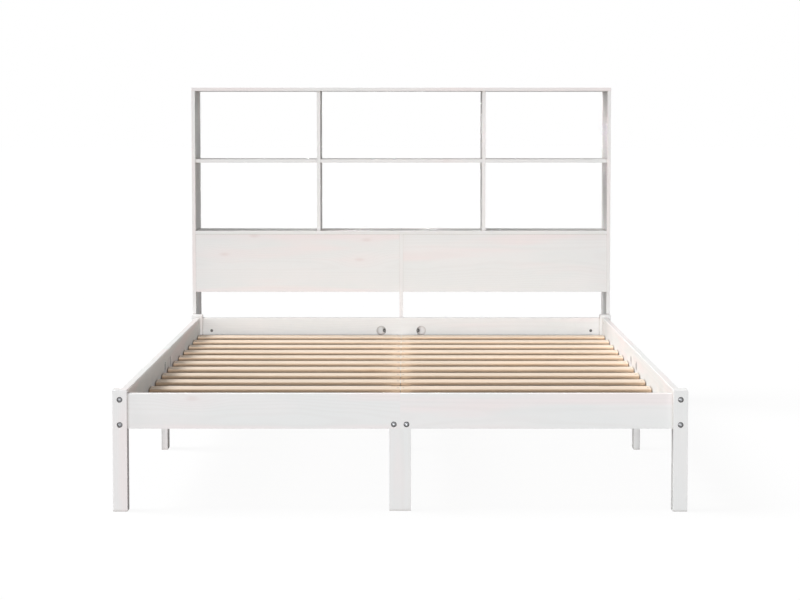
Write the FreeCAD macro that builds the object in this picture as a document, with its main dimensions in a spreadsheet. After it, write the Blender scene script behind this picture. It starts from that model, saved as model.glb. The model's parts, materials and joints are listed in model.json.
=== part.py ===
"""Bookcase headboard bed: slatted bed base on corner posts with an open bookcase behind it.

Millimetres. X runs across the bed, +Y from the foot end to the bookcase, +Z up. The origin is
on the floor, below the middle of the whole bed.
"""
import FreeCAD, Part
import os
import Sketcher
from FreeCAD import Placement, Rotation, Vector

# Driving dimensions: name, value in mm (or a count), what it measures.
SIZES = (
    ("bed_wide", 1455, "outside width over the posts"),
    ("base_long", 2055, "bed base, from the foot posts' front to the head posts' back"),
    ("case_high", 1098, "height of the bookcase"),
    ("panel_deep", 200, "depth of the bookcase's side panels and top board"),
    ("post", 37, "side of a square corner post"),
    ("post_high", 310, "height of a corner post"),
    ("rail_thick", 18, "thickness of every rail, leg and bearer"),
    ("rail_high", 90, "height of every rail"),
    ("rail_low", 210, "underside of the rails above the floor"),
    ("bearer_high", 22, "height of the ledgers and the centre beam"),
    ("leg_wide", 55, "width of a middle leg and of the centre beam"),
    ("tongue_thick", 9, "tongue of a middle leg, half the rail"),
    ("tongue_high", 22, "height of that tongue above the rail's underside"),
    ("beam_lap", 60, "length of the half-lap between the two beam pieces"),
    ("slat_count", 13, "rows of slats"),
    ("slat_wide", 66, "width of a slat"),
    ("slat_thick", 12, "thickness of a slat"),
    ("slat_apart", 1.5, "gap between the two halves of a slat row"),
    ("slat_free", 3, "gap between a slat and the side rail"),
    ("slat_screw_in", 7, "slat screw from the end of the slat"),
    ("slat_screw_off", 7, "slat screw in front of the slat's centre line"),
    ("board", 12, "thickness of every bookcase board"),
    ("shelf_deep", 167, "depth of the middle shelf and the dividers"),
    ("shelf_back", 8, "middle shelf and dividers behind the side panels' front"),
    ("bottom_deep", 175, "depth of the bottom shelf and the centre upright"),
    ("middle_low", 838, "underside of the middle shelf"),
    ("bottom_low", 589, "underside of the bottom shelf"),
    ("head_low", 388, "lower edge of the head panels"),
    ("head_back", 2, "head panels behind the side panels' front"),
    ("divider_at", 287, "centre of a divider from the bed's middle"),
    ("slot_free", 0.2, "play in the slots where shelf and dividers cross"),
    ("post_round", 1.5, "rounding of the posts' edges"),
    ("rail_round", 2, "rounding of the rails' top edges"),
    ("slat_round", 5, "rounding of the slats' long edges"),
    ("board_round", 0.8, "rounding of the bookcase boards' edges"),
    ("bolt", 6, "diameter of the connecting bolts and rods"),
    ("bolt_bore", 7, "clearance bore for them"),
    ("bolt_head", 14, "diameter of a bolt head"),
    ("head_thick", 2.5, "thickness of a bolt head at its middle"),
    ("head_dome", 13.3, "radius of the sphere that a bolt head's face is part of"),
    ("head_bore", 14.8, "counterbore that takes the head flush"),
    ("head_sink", 2.6, "depth of that counterbore"),
    ("hex_key", 4, "socket across flats"),
    ("low_bolt", 11, "lower bolt row above the rail's underside"),
    ("high_bolt", 75, "upper bolt row above the rail's underside"),
    ("mid_bolt", 45, "middle of the rail above its underside"),
    ("leg_bolt_at", 16, "leg bolts from the middle of the leg"),
    ("rail_bolt_long", 70, "length of a post bolt under its head"),
    ("beam_bolt_long", 50, "length of a beam bolt under its head"),
    ("leg_bolt_long", 38, "length of a side leg's bolt under its head"),
    ("barrel", 10, "diameter of a barrel nut"),
    ("barrel_long", 14, "length of a barrel nut"),
    ("barrel_in", 31.5, "barrel nut from the rail's end"),
    ("barrel_bore", 10.3, "bore for a barrel nut"),
    ("barrel_sink", 16, "depth of that bore"),
    ("pocket", 33, "diameter of the round pockets beside a rail's joint"),
    ("pocket_deep", 15, "depth of those pockets"),
    ("pocket_end_at", 69.5, "pocket centre from the joint, foot and head rails"),
    ("pocket_side_at", 72, "pocket centre from the joint, side rails"),
    ("crescent_seat", 12.3, "flat of a crescent plate from the pocket's centre"),
    ("crescent_high", 11, "height of a crescent plate"),
    ("nut_flats", 10, "hexagon nut across flats"),
    ("nut_thick", 5, "thickness of a hexagon nut"),
    ("rod_spare", 2, "rod past its nut"),
    ("dowel", 8, "diameter of a wooden dowel in the bed base"),
    ("dowel_long", 32, "length of that dowel"),
    ("peg", 6, "diameter of a wooden dowel in the bookcase"),
    ("peg_long", 30, "length of that dowel"),
    ("peg_sink", 8, "its depth in the face of a board"),
    ("wood_play", 0.2, "dowel bore over its dowel"),
    ("frame_screw", 4, "diameter of the ledger and beam screws"),
    ("frame_screw_long", 30, "length of those screws"),
    ("slat_screw", 3.5, "diameter of a slat screw"),
    ("slat_screw_long", 28, "length of a slat screw"),
    ("case_screw", 4, "diameter of a bookcase screw"),
    ("case_screw_long", 45, "length of a bookcase screw"),
    ("screw_play", 0.3, "screw bore over its screw"),
    ("case_screw_in", 35, "bookcase screws from a board's front and back edge"),
    ("bracket", 24, "leg of a linking bracket"),
    ("bracket_thick", 2, "thickness of a linking bracket"),
    ("bracket_high", 20, "height of a linking bracket"),
    ("bracket_low", 90, "underside of the lower brackets"),
    ("bracket_top", 242, "underside of the upper brackets"),
    ("bracket_screw", 3.5, "diameter of a bracket screw"),
    ("bracket_screw_long", 11, "length of a bracket screw"),
)

doc = FreeCAD.newDocument("bookcase_headboard_bed")
dim = doc.addObject("Spreadsheet::Sheet", "dim")
for row, (alias, value, meaning) in enumerate(SIZES, start=1):
    dim.set(f"A{row}", alias)
    dim.set(f"B{row}", str(value))
    dim.set(f"C{row}", meaning)
    dim.setAlias(f"B{row}", alias)
doc.recompute()

# Lengths and places that several pieces share, as expressions on the sheet.
FOOT = "(0 - (dim.base_long + dim.panel_deep) / 2)"
HEAD = f"({FOOT} + dim.base_long)"
MIDDLE = f"({FOOT} + dim.base_long / 2)"
EDGE = "(dim.bed_wide / 2)"
INSET = "((dim.post - dim.rail_thick) / 2)"
END_HALF = "(dim.bed_wide / 2 - dim.post)"
SIDE_HALF = "(dim.base_long / 2 - dim.post)"
DECK_FRONT = f"({FOOT} + {INSET} + dim.rail_thick)"
DECK_LONG = f"(dim.base_long - 2 * {INSET} - 2 * dim.rail_thick)"
PITCH = f"({DECK_LONG} / dim.slat_count)"
BEAM_HALF = f"({DECK_LONG} / 2)"
INNER = f"({EDGE} - {INSET} - dim.rail_thick)"
BEARER_TOP = "(dim.rail_low + dim.bearer_high)"
SLAT_LONG = f"({INNER} - dim.slat_free - dim.slat_apart / 2)"
CASE_INNER = f"({EDGE} - dim.board)"
BOTTOM_TOP = "(dim.bottom_low + dim.board)"
TOP_LOW = "(dim.case_high - dim.board)"

# Dowel heights above a rail's underside, at the post and at the rail's own joint.
DOWEL_ROWS = {
    "post": ("dim.mid_bolt - 22", "dim.mid_bolt + 22"),
    "joint": ("dim.mid_bolt - 14", "dim.mid_bolt + 21"),
}
# Linking brackets: the holes from the corner, their bore, the pilot bore's depth and heights.
BRACKET_HOLE = "dim.bracket * 0.6"
BRACKET_BORE = "(dim.bracket_screw + dim.screw_play)"
BRACKET_PILOT = "dim.bracket_screw_long - dim.bracket_thick + 0.5"
BRACKET_ROWS = [f"dim.{low} + dim.bracket_high / 2" for low in ("bracket_low", "bracket_top")]

# Each local axis: the plane square to it, the sense of that plane's normal, the sketch's axes.
PLANES = {"x": ("YZ_Plane", 1, (1, 2)), "y": ("XZ_Plane", -1, (0, 2)), "z": ("XY_Plane", 1, (0, 1))}
DIRECTIONS = {"x": Vector(1, 0, 0), "y": Vector(0, 1, 0), "z": Vector(0, 0, 1)}

nodes = []
cuts = []


def number(expression):
    """The value of an expression on the sheet."""
    return float(dim.evalExpression(expression))


def spot(x, y, z):
    """A point of the bed, from three expressions."""
    return Vector(number(x), number(y), number(z))


def sketch_on(body, name, axis, start):
    """An empty sketch square to a local axis, at the distance start along it."""
    role, sense, _ = PLANES[axis]
    sketch = body.newObject("Sketcher::SketchObject", name)
    plane = next(item for item in body.Origin.OriginFeatures if item.Role == role)
    sketch.AttachmentSupport = [(plane, "")]
    sketch.MapMode = "FlatFace"
    sketch.setExpression(".AttachmentOffset.Base.z", f"{sense} * ({start})")
    return sketch


def hold(sketch, constraint, expression):
    """Adds a dimension to a sketch and binds it to an expression."""
    index = sketch.addConstraint(constraint)
    sketch.setExpression(f".Constraints[{index}]", expression)


def draw_rectangle(sketch, corner, size):
    """A rectangle from its lower corner and its two sides."""
    u, v = number(corner[0]), number(corner[1])
    du, dv = number(size[0]), number(size[1])
    ring = [Vector(u, v, 0), Vector(u + du, v, 0), Vector(u + du, v + dv, 0), Vector(u, v + dv, 0)]
    first = sketch.GeometryCount
    for index in range(4):
        sketch.addGeometry(Part.LineSegment(ring[index], ring[(index + 1) % 4]))
    for index in range(4):
        following = first + (index + 1) % 4
        sketch.addConstraint(Sketcher.Constraint("Coincident", first + index, 2, following, 1))
    for index, level in enumerate(("Horizontal", "Vertical", "Horizontal", "Vertical")):
        sketch.addConstraint(Sketcher.Constraint(level, first + index))
    hold(sketch, Sketcher.Constraint("DistanceX", first, 1, first, 2, du), size[0])
    hold(sketch, Sketcher.Constraint("DistanceY", first + 1, 1, first + 1, 2, dv), size[1])
    hold(sketch, Sketcher.Constraint("DistanceX", -1, 1, first, 1, u), corner[0])
    hold(sketch, Sketcher.Constraint("DistanceY", -1, 1, first, 1, v), corner[1])


def draw_circle(sketch, centre, diameter):
    """A circle from its centre and diameter."""
    u, v = number(centre[0]), number(centre[1])
    index = sketch.addGeometry(Part.Circle(Vector(u, v, 0), Vector(0, 0, 1), number(diameter) / 2))
    hold(sketch, Sketcher.Constraint("Diameter", index, number(diameter)), diameter)
    hold(sketch, Sketcher.Constraint("DistanceX", -1, 1, index, 3, u), centre[0])
    hold(sketch, Sketcher.Constraint("DistanceY", -1, 1, index, 3, v), centre[1])


def cut(body, name, axis, start, forward, depth, draw):
    """A pocket along a local axis: forward cuts towards its positive end."""
    sense = PLANES[axis][1]
    sketch = sketch_on(body, f"{name}_outline", axis, start)
    draw(sketch, PLANES[axis][2])
    pocket = body.newObject("PartDesign::Pocket", name)
    pocket.Profile = sketch
    pocket.Reversed = forward == (sense > 0)
    pocket.setExpression("Length", depth)
    cuts.append(pocket)
    return pocket


def bore(body, name, axis, start, forward, depth, diameter, centres):
    """Round holes along a local axis. Each centre is (x, y, z); the one along the axis isn't read."""
    def draw(sketch, uv):
        for centre in centres:
            draw_circle(sketch, [centre[k] for k in uv], diameter)
    return cut(body, f"{body.Label}_{name}", axis, start, forward, depth, draw)


def countersink(body, name, axis, start, forward, screw, centres):
    """Seats for countersunk heads, which are two screw diameters wide and half a diameter deep."""
    seat = bore(body, name, axis, start, forward, f"{screw} / 2", f"2 * {screw} + 0.4", centres)
    seat.TaperAngle = -45


def notch(body, name, axis, start, forward, depth, corner, size):
    """A square-cornered cut along a local axis, from its lower corner and its size."""
    def draw(sketch, uv):
        draw_rectangle(sketch, [corner[k] for k in uv], [size[k] for k in uv])
    cut(body, f"{body.Label}_{name}", axis, start, forward, depth, draw)


def round_edges(body, radius, wanted):
    """Rounds the edges of the body's last feature for which wanted(edge) is true."""
    base = body.Tip
    names = [f"Edge{k + 1}" for k, edge in enumerate(base.Shape.Edges) if wanted(edge)]
    fillet = body.newObject("PartDesign::Fillet", f"{body.Label}_edges")
    fillet.Base = (base, names)
    fillet.setExpression("Radius", radius)


def runs_along(axis):
    """A test for straight edges along a local axis."""
    def test(edge):
        return edge.tangentAt(edge.FirstParameter).cross(DIRECTIONS[axis]).Length < 0.01
    return test


def board(label, corner, size, radius=None, wanted=lambda edge: True):
    """A planed board with its lowest corner at its own origin, placed at corner."""
    body = doc.addObject("PartDesign::Body", label)
    body.Label = label
    sketch = sketch_on(body, f"{label}_outline", "z", "0")
    draw_rectangle(sketch, ("0", "0"), size[:2])
    pad = body.newObject("PartDesign::Pad", f"{label}_blank")
    pad.Profile = sketch
    pad.setExpression("Length", size[2])
    for letter, place in zip("xyz", corner):
        body.setExpression(f".Placement.Base.{letter}", place)
    body.recompute(True)
    if radius:
        round_edges(body, radius, wanted)
    nodes.append(body)
    return body


def mirrored(hand, low, wide):
    """The low X of a piece that is wide: to the right as given, to the left mirrored."""
    return low if hand > 0 else f"(0 - ({low}) - ({wide}))"


# ---------------------------------------------------------------- bed base
SIDES = (("left", -1), ("right", 1))
ENDS = (("foot", -1), ("head", 1))


def post(end, at_head, side, hand):
    """Corner post: two flush bolts along the bed, one across it and two dowels."""
    low_y = f"{HEAD} - dim.post" if at_head > 0 else FOOT
    body = board(f"post_{end}_{side}", (mirrored(hand, f"{EDGE} - dim.post", "dim.post"), low_y, "0"),
                 ("dim.post", "dim.post", "dim.post_high"), "dim.post_round")
    half = "dim.post / 2"
    rows = [(half, half, f"dim.rail_low + dim.{row}_bolt") for row in ("low", "high")]
    bore(body, "long_bores", "y", "0", True, "dim.post", "dim.bolt_bore", rows)
    outer = "dim.post" if at_head > 0 else "0"
    bore(body, "long_seats", "y", outer, at_head < 0, "dim.head_sink", "dim.head_bore", rows)
    cross = [(half, half, "dim.rail_low + dim.mid_bolt")]
    bore(body, "cross_bore", "x", "0", True, "dim.post", "dim.bolt_bore", cross)
    outer = "dim.post" if hand > 0 else "0"
    bore(body, "cross_seat", "x", outer, hand < 0, "dim.head_sink", "dim.head_bore", cross)
    inner = "0" if hand > 0 else "dim.post"
    if at_head > 0:
        off = f"dim.board + {BRACKET_HOLE}"
        hole_x = f"dim.post - ({off})" if hand > 0 else off
        bore(body, "bracket_pilots", "y", "dim.post", False, BRACKET_PILOT, BRACKET_BORE,
             [(hole_x, "0", height) for height in BRACKET_ROWS])
    pegs = [(half, half, f"dim.rail_low + {height}") for height in DOWEL_ROWS["post"]]
    bore(body, "dowel_bores", "x", inner, hand > 0, "dim.dowel_long / 2 + 1",
         "dim.dowel + dim.wood_play", pegs)


def rail(label, run, corner, length, joint_last, inner_last, pocket_at, bolt_rows, dowels_at_post):
    """Half a rail. It runs along x or y, with its joint and its inner face at the named ends.

    The joint end has a round pocket for a nut, the rod's bore, two dowels and the notch for a
    middle leg's tongue; the post end has the barrel nuts.
    """
    across = "y" if run == "x" else "x"

    def place(along, sideways, height):
        return (along, sideways, height) if run == "x" else (sideways, along, height)

    def from_joint(distance):
        return f"({length}) - ({distance})" if joint_last else distance

    def from_post(distance):
        return distance if joint_last else f"({length}) - ({distance})"

    body = board(label, corner, place(length, "dim.rail_thick", "dim.rail_high"), "dim.rail_round",
                 lambda edge: runs_along(run)(edge) and edge.CenterOfMass.z > number("dim.mid_bolt"))
    joint = length if joint_last else "0"
    far = "0" if joint_last else length
    inner = "dim.rail_thick" if inner_last else "0"
    outer = "0" if inner_last else "dim.rail_thick"
    core = "dim.rail_thick / 2"
    bore(body, "pocket", across, inner, not inner_last, "dim.pocket_deep", "dim.pocket",
         [place(from_joint(pocket_at), core, "dim.mid_bolt")])
    bore(body, "rod_bore", run, joint, not joint_last, pocket_at, "dim.bolt_bore",
         [place("0", core, "dim.mid_bolt")])
    bore(body, "joint_dowels", run, joint, not joint_last, "dim.dowel_long / 2 + 1",
         "dim.dowel + dim.wood_play", [place("0", core, height) for height in DOWEL_ROWS["joint"]])
    bore(body, "bolt_bores", run, far, joint_last, "dim.barrel_in + 8", "dim.bolt_bore",
         [place("0", core, f"dim.{row}_bolt") for row in bolt_rows])
    bore(body, "barrel_bores", across, inner, not inner_last, "dim.barrel_sink", "dim.barrel_bore",
         [place(from_post("dim.barrel_in"), core, f"dim.{row}_bolt") for row in bolt_rows])
    if dowels_at_post:
        bore(body, "post_dowels", run, far, joint_last, "dim.dowel_long / 2 + 1",
             "dim.dowel + dim.wood_play", [place("0", core, height) for height in DOWEL_ROWS["post"]])
    half_leg = "dim.leg_wide / 2"
    low_along = f"({length}) - {half_leg}" if joint_last else "0"
    low_across = "dim.rail_thick - dim.tongue_thick" if inner_last else "0"
    notch(body, "leg_notch", "z", "0", True, "dim.tongue_high",
          place(low_along, low_across, "0"), place(half_leg, "dim.tongue_thick", "0"))
    leg_bolt = [place(from_joint("dim.leg_bolt_at"), core, "dim.low_bolt")]
    bore(body, "leg_bore", across, outer, inner_last, "dim.rail_thick", "dim.bolt_bore", leg_bolt)
    bore(body, "leg_seat", across, outer, inner_last, "dim.head_sink", "dim.head_bore", leg_bolt)
    return body


def end_rail(end, at_head, side, hand):
    """Half the foot rail or half the head rail."""
    low_y = f"{HEAD} - {INSET} - dim.rail_thick" if at_head > 0 else f"{FOOT} + {INSET}"
    rail(f"{end}_rail_{side}", "x", (mirrored(hand, "0", END_HALF), low_y, "dim.rail_low"), END_HALF,
         hand < 0, at_head < 0, "dim.pocket_end_at", ("mid",), True)


# The slat rows lie at (k - 0.5) pitches from the deck's front, and the ledger screws between them.
def slat_line(k):
    """Y of the centre line of slat row k, counted from the foot."""
    return f"({DECK_FRONT} + {k - 0.5} * {PITCH})"


def gap_line(k):
    """Y of the middle of the gap behind slat row k."""
    return f"({DECK_FRONT} + {k} * {PITCH})"


def screw_line(k):
    """Y of the screws of slat row k."""
    return f"({slat_line(k)} - dim.slat_screw_off)"


SLAT_ROWS = range(1, int(number("dim.slat_count")) + 1)
MIDDLE_ROW = (len(SLAT_ROWS) + 1) // 2


def gaps_of(at_head):
    """The gaps between slats along one half of the bed."""
    return range(MIDDLE_ROW, len(SLAT_ROWS)) if at_head > 0 else range(1, MIDDLE_ROW)


def rows_of(at_head):
    """The slat rows that are screwed to one half's bearers; the middle row to the foot half's."""
    return range(MIDDLE_ROW + 1, len(SLAT_ROWS) + 1) if at_head > 0 else range(1, MIDDLE_ROW + 1)


def half_start(at_head):
    """Y where a side rail's half starts."""
    return MIDDLE if at_head > 0 else f"({FOOT} + dim.post)"


def side_rail(end, at_head, side, hand):
    """Half a side rail, with pilot bores for its ledger's screws."""
    start = half_start(at_head)
    corner = (mirrored(hand, INNER, "dim.rail_thick"), start, "dim.rail_low")
    body = rail(f"side_rail_{side}_{end}", "y", corner, SIDE_HALF, at_head < 0, hand < 0,
                "dim.pocket_side_at", ("low", "high"), False)
    inner = "0" if hand > 0 else "dim.rail_thick"
    bore(body, "ledger_pilots", "x", inner, hand > 0, "dim.frame_screw_long - dim.rail_thick + 1",
         "dim.frame_screw + dim.screw_play",
         [("0", f"{gap_line(k)} - {start}", "dim.bearer_high / 2") for k in gaps_of(at_head)])


def ledger(end, at_head, side, hand):
    """Half a ledger: the strip inside a side rail that carries the slats' outer ends."""
    start = half_start(at_head)
    body = board(f"ledger_{side}_{end}",
                 (mirrored(hand, f"{INNER} - dim.rail_thick", "dim.rail_thick"), start, "dim.rail_low"),
                 ("dim.rail_thick", SIDE_HALF, "dim.bearer_high"))
    screws = [("0", f"{gap_line(k)} - {start}", "dim.bearer_high / 2") for k in gaps_of(at_head)]
    bore(body, "screw_bores", "x", "0", True, "dim.rail_thick", "dim.frame_screw + dim.screw_play", screws)
    inner = "0" if hand > 0 else "dim.rail_thick"
    countersink(body, "screw_seats", "x", inner, hand > 0, "dim.frame_screw", screws)
    from_rail = "(dim.slat_free + dim.slat_screw_in)"
    screw_x = f"dim.rail_thick - {from_rail}" if hand > 0 else from_rail
    bore(body, "slat_pilots", "z", "dim.bearer_high", False, "dim.slat_screw_long - dim.slat_thick + 1",
         "dim.slat_screw + dim.screw_play",
         [(screw_x, f"{screw_line(k)} - {start}", "0") for k in rows_of(at_head)])
    joint = f"{SIDE_HALF} - dim.leg_bolt_at" if at_head < 0 else "dim.leg_bolt_at"
    bore(body, "leg_bore", "x", "0", True, "dim.rail_thick", "dim.bolt_bore", [("0", joint, "dim.low_bolt")])


def beam(end, at_head):
    """Half the centre beam, lapped over the middle leg and bolted through an end rail."""
    half_lap = "dim.beam_lap / 2"
    start = f"({MIDDLE} - {half_lap})" if at_head > 0 else DECK_FRONT
    length = f"({BEAM_HALF} + {half_lap})"
    body = board(f"centre_beam_{end}", ("0 - dim.leg_wide / 2", start, "dim.rail_low"),
                 ("dim.leg_wide", length, "dim.bearer_high"))
    half_high = "dim.bearer_high / 2"
    if at_head > 0:
        notch(body, "lap", "z", "0", True, half_high, ("0", "0", "0"), ("dim.leg_wide", "dim.beam_lap", "0"))
    else:
        notch(body, "lap", "z", "dim.bearer_high", False, half_high,
              ("0", f"{length} - dim.beam_lap", "0"), ("dim.leg_wide", "dim.beam_lap", "0"))
    pair = [f"dim.leg_wide / 2 {sign} dim.leg_bolt_at" for sign in "-+"]
    tail = length if at_head > 0 else "0"
    barrel_y = f"{length} - dim.barrel_in" if at_head > 0 else "dim.barrel_in"
    bore(body, "bolt_bores", "y", tail, at_head < 0, "dim.barrel_in + 8", "dim.bolt_bore",
         [(x, "0", "dim.low_bolt") for x in pair])
    bore(body, "barrel_bores", "z", "0", True, "dim.barrel_sink + 1.5", "dim.barrel_bore",
         [(x, barrel_y, "0") for x in pair])
    slat_x = [f"dim.leg_wide / 2 {sign} (dim.slat_apart / 2 + dim.slat_screw_in)" for sign in "-+"]
    rows = list(rows_of(at_head)) + ([MIDDLE_ROW] if at_head > 0 else [])
    bore(body, "slat_pilots", "z", "dim.bearer_high", False, "dim.slat_screw_long - dim.slat_thick + 1",
         "dim.slat_screw + dim.screw_play",
         [(x, f"{screw_line(k)} - {start}", "0") for x in slat_x for k in rows])
    bore(body, "leg_screw_bores", "z", "dim.bearer_high", False, "dim.bearer_high",
         "dim.frame_screw + dim.screw_play", [(x, f"{MIDDLE} - {start}", "0") for x in pair])
    if at_head > 0:
        countersink(body, "leg_screw_seats", "z", "dim.bearer_high", False, "dim.frame_screw",
                    [(x, f"{MIDDLE} - {start}", "0") for x in pair])


def end_leg(end, at_head):
    """Middle leg under the foot or head rail: its tongue laps behind the rail."""
    low_y = f"{HEAD} - {INSET} - dim.rail_thick" if at_head > 0 else f"{FOOT} + {INSET}"
    body = board(f"leg_{end}_middle", ("0 - dim.leg_wide / 2", low_y, "0"),
                 ("dim.leg_wide", "dim.rail_thick", "dim.rail_low + dim.tongue_high"))
    cheek = "dim.tongue_thick" if at_head > 0 else "0"
    notch(body, "cheek", "z", "dim.rail_low + dim.tongue_high", False, "dim.tongue_high",
          ("0", cheek, "0"), ("dim.leg_wide", "dim.rail_thick - dim.tongue_thick", "0"))
    pair = [(f"dim.leg_wide / 2 {sign} dim.leg_bolt_at", "0", "dim.rail_low + dim.low_bolt")
            for sign in "-+"]
    bore(body, "bolt_bores", "y", "0", True, "dim.rail_thick", "dim.bolt_bore", pair)


def side_leg(side, hand):
    """Middle leg under a side rail's joint."""
    corner = (mirrored(hand, INNER, "dim.rail_thick"), f"{MIDDLE} - dim.leg_wide / 2", "0")
    body = board(f"leg_side_{side}", corner,
                 ("dim.rail_thick", "dim.leg_wide", "dim.rail_low + dim.tongue_high"))
    cheek = "dim.tongue_thick" if hand > 0 else "0"
    notch(body, "cheek", "z", "dim.rail_low + dim.tongue_high", False, "dim.tongue_high",
          (cheek, "0", "0"), ("dim.rail_thick - dim.tongue_thick", "dim.leg_wide", "0"))
    pair = [("0", f"dim.leg_wide / 2 {sign} dim.leg_bolt_at", "dim.rail_low + dim.low_bolt")
            for sign in "-+"]
    bore(body, "bolt_bores", "x", "0", True, "dim.rail_thick", "dim.bolt_bore", pair)


def beam_leg():
    """Middle leg under the centre beam's lap."""
    body = board("leg_beam_middle", ("0 - dim.leg_wide / 2", f"{MIDDLE} - dim.rail_thick / 2", "0"),
                 ("dim.leg_wide", "dim.rail_thick", "dim.rail_low"))
    bore(body, "screw_pilots", "z", "dim.rail_low", False, "dim.frame_screw_long - dim.bearer_high + 1",
         "dim.frame_screw + dim.screw_play",
         [(f"dim.leg_wide / 2 {sign} dim.leg_bolt_at", "dim.rail_thick / 2", "0") for sign in "-+"])


for side_name, side_hand in SIDES:
    for end_name, end_hand in ENDS:
        post(end_name, end_hand, side_name, side_hand)
        end_rail(end_name, end_hand, side_name, side_hand)
        side_rail(end_name, end_hand, side_name, side_hand)
        ledger(end_name, end_hand, side_name, side_hand)
    side_leg(side_name, side_hand)
for end_name, end_hand in ENDS:
    beam(end_name, end_hand)
    end_leg(end_name, end_hand)
beam_leg()


def slat_half():
    """The right half of a slat row, drilled and countersunk at both ends. It is the rows' pattern."""
    body = board("slat_pattern", ("0", "0", "0"), (SLAT_LONG, "dim.slat_wide", "dim.slat_thick"),
                 "dim.slat_round", runs_along("x"))
    nodes.remove(body)
    screws = [(x, "dim.slat_wide / 2 - dim.slat_screw_off", "0")
              for x in ("dim.slat_screw_in", f"{SLAT_LONG} - dim.slat_screw_in")]
    bore(body, "screw_bores", "z", "dim.slat_thick", False, "dim.slat_thick",
         "dim.slat_screw + dim.screw_play", screws)
    countersink(body, "screw_seats", "z", "dim.slat_thick", False, "dim.slat_screw", screws)
    return body


slat_pattern = slat_half()


# ---------------------------------------------------------------- bookcase
CASE_BORE = "dim.case_screw + dim.screw_play"
PEG_BORE = "dim.peg + dim.wood_play"
END_GRAIN = "dim.case_screw_long - dim.board + 1"
PEG_LEFT = "dim.peg_long - dim.peg_sink + 1"
SHELF_ROWS = ("dim.middle_low + dim.board / 2", "dim.bottom_low + dim.board / 2")
HEAD_ROWS = ("dim.head_low + 40", "dim.bottom_low - 40")
# Depths behind the side panels' front at which the boards are screwed and pegged.
SCREW_DEPTHS = ("dim.case_screw_in", "dim.bottom_deep - dim.case_screw_in")
PEG_DEPTH = "dim.bottom_deep / 2"
HEAD_DEPTH = "dim.head_back + dim.board / 2"


def side_panel(side, hand):
    """Side panel, from the floor to the top board."""
    body = board(f"side_panel_{side}", (mirrored(hand, CASE_INNER, "dim.board"), HEAD, "0"),
                 ("dim.board", "dim.panel_deep", TOP_LOW), "dim.board_round", runs_along("z"))
    shelves = [("0", depth, row) for depth in SCREW_DEPTHS for row in SHELF_ROWS]
    screws = shelves + [("0", HEAD_DEPTH, row) for row in HEAD_ROWS]
    bore(body, "screw_bores", "x", "0", True, "dim.board", CASE_BORE, screws)
    outer = "dim.board" if hand > 0 else "0"
    countersink(body, "screw_seats", "x", outer, hand < 0, "dim.case_screw", screws)
    inner = "0" if hand > 0 else "dim.board"
    bore(body, "peg_bores", "x", inner, hand > 0, "dim.peg_sink", PEG_BORE,
         [("0", PEG_DEPTH, row) for row in SHELF_ROWS])
    bore(body, "top_peg_bore", "z", TOP_LOW, False, PEG_LEFT, PEG_BORE, [("dim.board / 2", PEG_DEPTH, "0")])
    bore(body, "top_screw_pilots", "z", TOP_LOW, False, END_GRAIN, CASE_BORE,
         [("dim.board / 2", depth, "0") for depth in SCREW_DEPTHS])
    bore(body, "bracket_pilots", "x", inner, hand > 0, BRACKET_PILOT, BRACKET_BORE,
         [("0", BRACKET_HOLE, height) for height in BRACKET_ROWS])


def dividers_x(low="0"):
    """The two dividers' centres, as X in a board whose low end is at low."""
    return [f"(0 - ({low}) {sign} dim.divider_at)" for sign in "-+"]


def top_board():
    """Top board, over the side panels."""
    body = board("top_board", (f"0 - {EDGE}", HEAD, TOP_LOW),
                 ("dim.bed_wide", "dim.panel_deep", "dim.board"), "dim.board_round")
    low = f"(0 - {EDGE})"
    ends = ["dim.board / 2", "dim.bed_wide - dim.board / 2"]
    screws = [(x, depth, "0") for x in ends + dividers_x(low) for depth in SCREW_DEPTHS]
    bore(body, "screw_bores", "z", "dim.board", False, "dim.board", CASE_BORE, screws)
    countersink(body, "screw_seats", "z", "dim.board", False, "dim.case_screw", screws)
    bore(body, "peg_bores", "z", "0", True, "dim.peg_sink", PEG_BORE,
         [(x, PEG_DEPTH, "0") for x in ends + dividers_x(low)])


def end_grain_bores(body, length, front):
    """Pilot and peg bores in both ends of a shelf whose front is front behind the panels' front."""
    for name, start, forward in (("low", "0", True), ("high", length, False)):
        bore(body, f"{name}_pilots", "x", start, forward, END_GRAIN, CASE_BORE,
             [("0", f"{depth} - {front}", "dim.board / 2") for depth in SCREW_DEPTHS])
        bore(body, f"{name}_pegs", "x", start, forward, PEG_LEFT, PEG_BORE,
             [("0", f"{PEG_DEPTH} - {front}", "dim.board / 2")])


def middle_shelf():
    """Middle shelf. The dividers cross it in slots cut from its front."""
    length = f"(2 * {CASE_INNER})"
    body = board("middle_shelf", (f"0 - {CASE_INNER}", f"{HEAD} + dim.shelf_back", "dim.middle_low"),
                 (length, "dim.shelf_deep", "dim.board"), "dim.board_round", runs_along("x"))
    end_grain_bores(body, length, "dim.shelf_back")
    wide = "(dim.board + dim.slot_free)"
    for name, centre in zip(("left", "right"), dividers_x(f"(0 - {CASE_INNER})")):
        notch(body, f"{name}_slot", "z", "dim.board", False, "dim.board",
              (f"{centre} - {wide} / 2", "0", "0"), (wide, "dim.shelf_deep / 2", "0"))


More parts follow.
